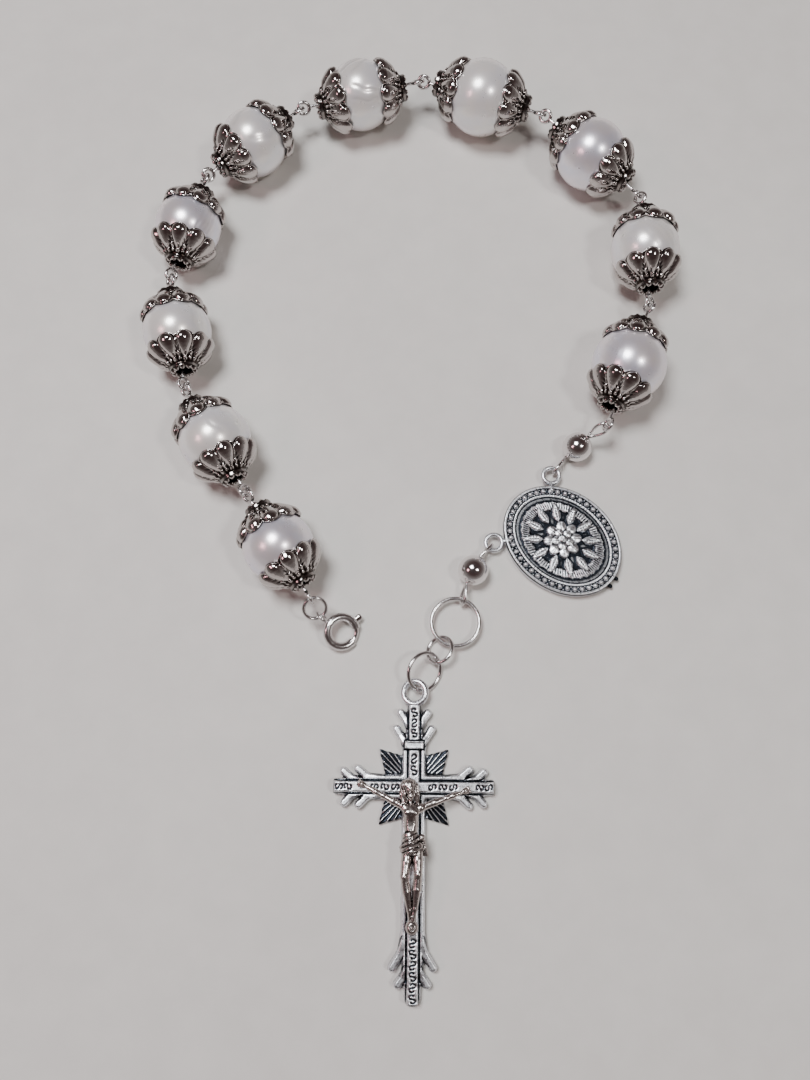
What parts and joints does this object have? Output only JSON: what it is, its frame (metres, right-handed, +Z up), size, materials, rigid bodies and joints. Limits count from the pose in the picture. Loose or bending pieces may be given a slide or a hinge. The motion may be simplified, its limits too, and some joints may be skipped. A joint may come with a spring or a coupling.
{
  "type": "rosary bracelet",
  "caption": "Opened rosary bracelet of large pearls in flower caps, with a spring ring clasp, an oval medal and a hanging crucifix.",
  "frame": {"origin": "middle of the outline on the plane that the bracelet lies on", "axes": "+X to the right of the picture, +Y from the foot of the cross towards the far beads, +Z up"},
  "size_m": [0.0746, 0.1282, 0.0106],
  "materials": {
    "pearl": "glossy nacre",
    "bright_metal": "polished",
    "wire_metal": "bright wire",
    "cast_metal": "darkened in the recesses",
    "figure_metal": "darkened in the recesses"
  },
  "bodies": {
    "string": {"pearl_01": "pearl", "pearl_02": "pearl", "pearl_03": "pearl", "pearl_04": "pearl", "pearl_05": "pearl", "pearl_06": "pearl", "pearl_07": "pearl", "pearl_08": "pearl", "pearl_09": "pearl", "pearl_10": "pearl", "cap_01_a": "bright_metal", "cap_02_a": "bright_metal", "cap_03_a": "bright_metal", "cap_04_a": "bright_metal", "cap_05_a": "bright_metal", "cap_06_a": "bright_metal", "cap_07_a": "bright_metal", "cap_08_a": "bright_metal", "cap_09_a": "bright_metal", "cap_10_a": "bright_metal", "cap_01_b": "bright_metal", "cap_02_b": "bright_metal", "cap_03_b": "bright_metal", "cap_04_b": "bright_metal", "cap_05_b": "bright_metal", "cap_06_b": "bright_metal", "cap_07_b": "bright_metal", "cap_08_b": "bright_metal", "cap_09_b": "bright_metal", "cap_10_b": "bright_metal", "pin_01": "wire_metal", "pin_02": "wire_metal", "pin_03": "wire_metal", "pin_04": "wire_metal", "pin_05": "wire_metal", "pin_06": "wire_metal", "pin_07": "wire_metal", "pin_08": "wire_metal", "pin_09": "wire_metal", "pin_10": "wire_metal", "ball_1": "bright_metal", "ball_2": "bright_metal", "ball_pin_1": "wire_metal", "ball_pin_2": "wire_metal", "medal": "cast_metal", "end_ring": "wire_metal", "link_small": "wire_metal", "link_large": "wire_metal", "clasp_link": "wire_metal", "clasp_body": "wire_metal", "cross": "cast_metal", "corpus": "figure_metal"},
    "bolt": {"clasp_bolt": "wire_metal"}
  },
  "joints": [
    {"name": "bolt_slide", "type": "hinge", "parent": "string", "child": "bolt", "pos_m": [-0.00927, -0.01944, 0.0014], "axis": [0.3626, -0.2446, 0.8993], "range_deg": [0, 55], "stiffness_Nm_per_rad": 0.003, "springref_deg": -17.19}
  ]
}
